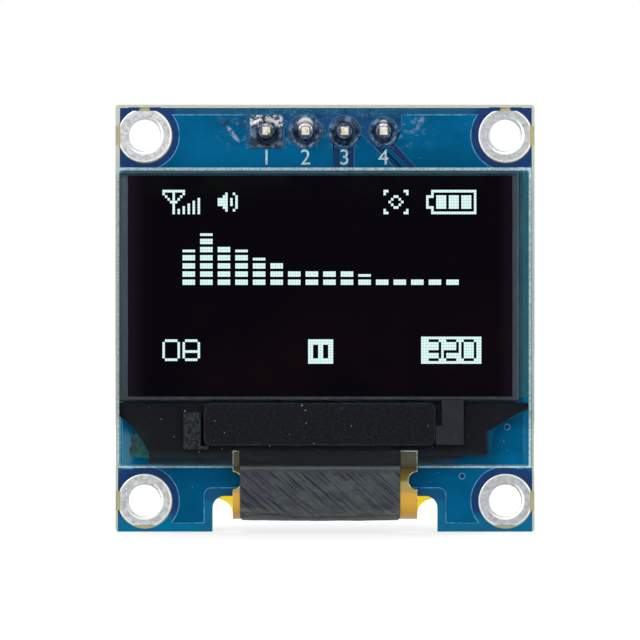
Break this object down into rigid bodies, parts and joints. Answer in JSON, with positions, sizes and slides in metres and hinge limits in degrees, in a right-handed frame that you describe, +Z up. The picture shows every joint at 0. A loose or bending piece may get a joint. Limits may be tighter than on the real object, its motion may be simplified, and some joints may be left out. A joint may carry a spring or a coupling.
{
  "type": "small oled module",
  "caption": "Small graphic display module: glass panel on a square board with corner holes, a wrapped flex cable and a rear pin header.",
  "frame": {"origin": "centre of the four mounting holes, on the board's front face", "axes": "-Y out of the display towards the viewer, +Z up towards the pin header, +X to the viewer's right"},
  "size_m": [0.0274, 0.0116, 0.0278],
  "materials": {
    "board_mask": "gloss blue solder mask",
    "tin_plating": "tinned",
    "header_plastic": "matte moulded",
    "pin_metal": "plated square wire",
    "solder": "bright solder",
    "foam_tape": "foam with adhesive faces",
    "panel_glass": "clear sheet glass",
    "desiccant": "matte sheet",
    "seal": "cured adhesive",
    "emitter": "dark mirror",
    "polarizer_film": "black film",
    "silicon": "polished die",
    "black_resin": "poured resin",
    "shield_film": "matte film",
    "flex_film": "amber film over copper",
    "bend_tape_film": "dark brushed tape",
    "package_plastic": "matte moulded",
    "capacitor_ceramic": "tan ceramic",
    "resistor_ceramic": "black glaze"
  },
  "bodies": {
    "root": {"circuit_board": "board_mask", "hole_plating_top_left": "tin_plating", "hole_plating_top_right": "tin_plating", "hole_plating_bottom_left": "tin_plating", "hole_plating_bottom_right": "tin_plating", "header_body": "header_plastic", "header_pin_1": "pin_metal", "solder_joint_1": "solder", "header_pin_2": "pin_metal", "solder_joint_2": "solder", "header_pin_3": "pin_metal", "solder_joint_3": "solder", "header_pin_4": "pin_metal", "solder_joint_4": "solder", "mounting_tape": "foam_tape", "cap_glass": "panel_glass", "desiccant_sheet": "desiccant", "seal_frame": "seal", "emitter_layer": "emitter", "front_glass": "panel_glass", "polarizer": "polarizer_film", "driver_chip": "silicon", "chip_resin": "black_resin", "light_shield": "shield_film", "flex_cable": "flex_film", "bend_tape": "bend_tape_film", "flex_solder": "solder", "regulator_body": "package_plastic", "regulator_leads": "pin_metal", "capacitor_1_body": "capacitor_ceramic", "capacitor_1_ends": "solder", "capacitor_2_body": "capacitor_ceramic", "capacitor_2_ends": "solder", "capacitor_3_body": "capacitor_ceramic", "capacitor_3_ends": "solder", "capacitor_4_body": "capacitor_ceramic", "capacitor_4_ends": "solder", "capacitor_5_body": "capacitor_ceramic", "capacitor_5_ends": "solder", "capacitor_6_body": "capacitor_ceramic", "capacitor_6_ends": "solder", "resistor_1_body": "resistor_ceramic", "resistor_1_ends": "solder", "resistor_2_body": "resistor_ceramic", "resistor_2_ends": "solder", "resistor_3_body": "resistor_ceramic", "resistor_3_ends": "solder", "resistor_4_body": "resistor_ceramic", "resistor_4_ends": "solder", "resistor_5_body": "resistor_ceramic", "resistor_5_ends": "solder", "resistor_6_body": "resistor_ceramic", "resistor_6_ends": "solder", "resistor_7_body": "resistor_ceramic", "resistor_7_ends": "solder"}
  },
  "joints": []
}
